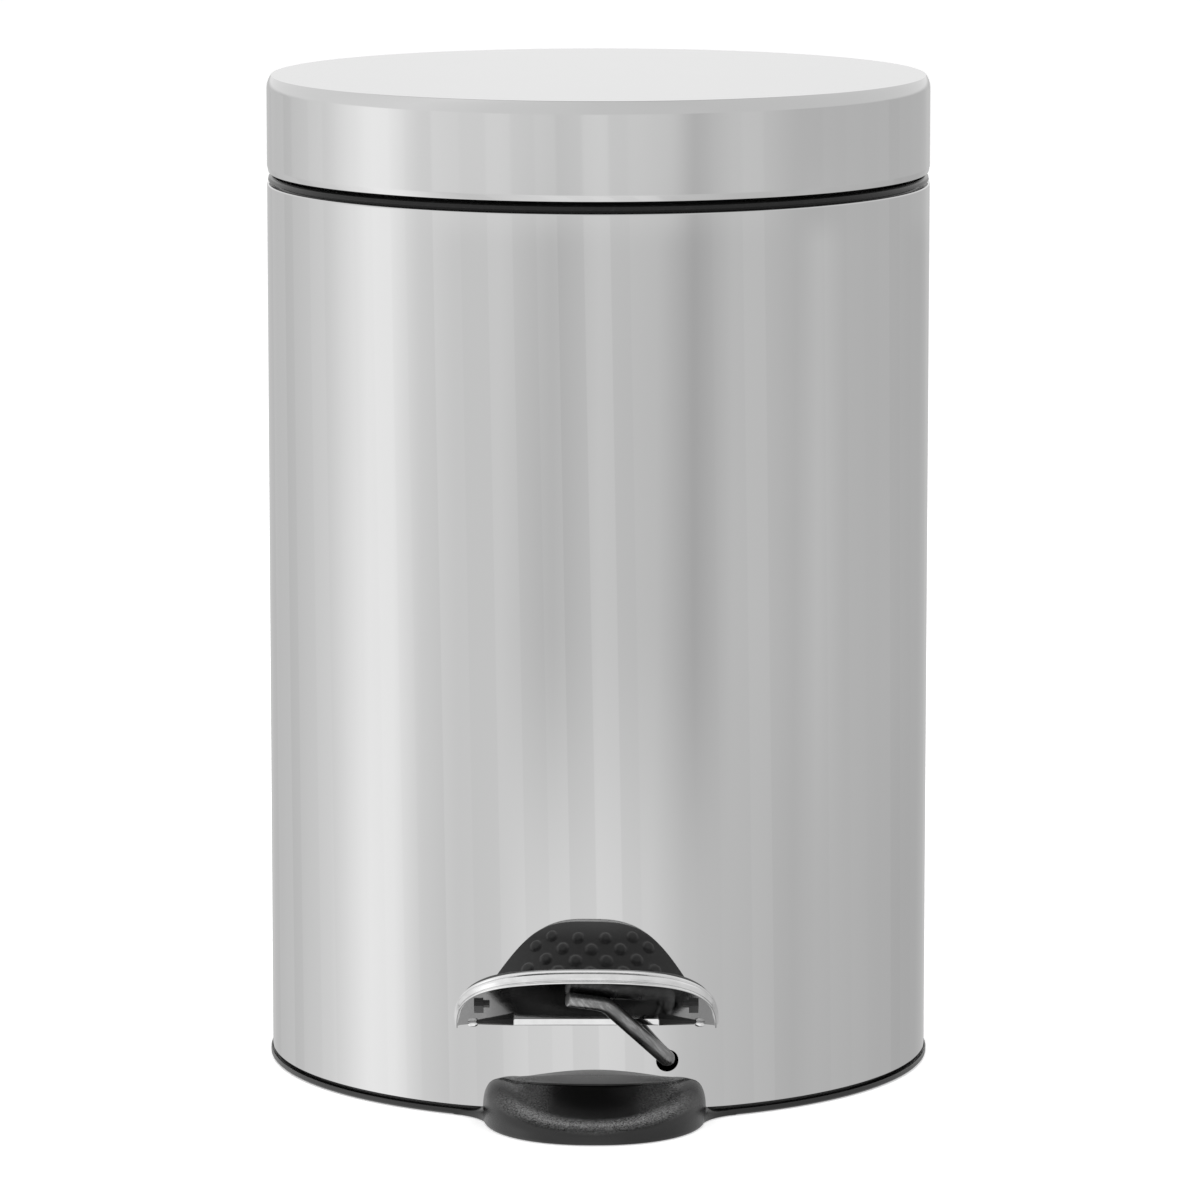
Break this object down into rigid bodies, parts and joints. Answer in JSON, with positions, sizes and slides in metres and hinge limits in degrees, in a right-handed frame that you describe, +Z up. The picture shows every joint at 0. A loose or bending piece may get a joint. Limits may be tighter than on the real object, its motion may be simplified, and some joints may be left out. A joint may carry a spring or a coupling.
{
  "type": "pedal trash can",
  "caption": "Small round pedal bin: polished steel body and lid, black base with a moulded foot, bent-wire pedal lever that lifts the hinged lid, and a lift-out inner bucket.",
  "frame": {"origin": "centre of the round body, on the floor", "axes": "+Z up along the body's axis; -Y to the front, where the pedal is; +X to the right as seen from the front"},
  "size_m": [0.171, 0.2181, 0.255],
  "materials": {
    "polished_steel": "mirror-polished stainless sheet",
    "pedal_chrome": "bright chrome plate",
    "plain_steel": "zinc-plated, satin",
    "lever_wire": "dark drawn wire with worn streaks",
    "black_plastic": "fine matte texture",
    "bucket_plastic": "satin moulded",
    "pad_rubber": "matte with low round dots"
  },
  "bodies": {
    "housing": {"outer_shell": "polished_steel", "base": "black_plastic", "lever_bearing_caps": "black_plastic", "bearing_screws": "plain_steel", "collar": "black_plastic", "hinge_bracket": "black_plastic", "hinge_backing_plate": "plain_steel", "bracket_screws": "plain_steel", "hinge_pin": "plain_steel", "rod_guide": "black_plastic", "guide_rivet": "plain_steel"},
    "lid": {"lid_shell": "polished_steel", "lid_liner": "black_plastic", "lid_hinge_arm": "plain_steel", "lid_screws": "plain_steel"},
    "pedal": {"pedal_lever": "lever_wire", "pedal_plate": "pedal_chrome", "pedal_pad": "pad_rubber", "lever_clip": "black_plastic"},
    "lift": {"lift_rod": "plain_steel", "lift_pin": "plain_steel"},
    "bucket": {"inner_bucket": "bucket_plastic"},
    "bail": {"bucket_bail": "plain_steel", "bail_grip": "black_plastic"}
  },
  "joints": [
    {"name": "pedal_press", "type": "hinge", "parent": "housing", "child": "pedal", "pos_m": [0, -0.0775, 0.015], "axis": [1, 0, 0], "range_deg": [0, 12]},
    {"name": "rod_lift", "type": "slide", "parent": "housing", "child": "lift", "axis": [0, 0, 1], "range_m": [0, 0.0317]},
    {"name": "lid_hinge", "type": "hinge", "parent": "housing", "child": "lid", "pos_m": [0, 0.09425, 0.232], "axis": [-1, 0, 0], "range_deg": [0, 76.1]},
    {"name": "bucket_lift", "type": "slide", "parent": "housing", "child": "bucket", "axis": [0, 0, 1], "range_m": [0, 0.006]},
    {"name": "bail_swing", "type": "hinge", "parent": "bucket", "child": "bail", "pos_m": [0, 0, 0.2351], "axis": [-1, 0, 0], "range_deg": [0, 5]}
  ],
  "couplings": [
    {"joint": "rod_lift", "follows": "pedal_press", "m_per_rad": 0.15115},
    {"joint": "lid_hinge", "follows": "pedal_press", "ratio": 6.3333}
  ]
}
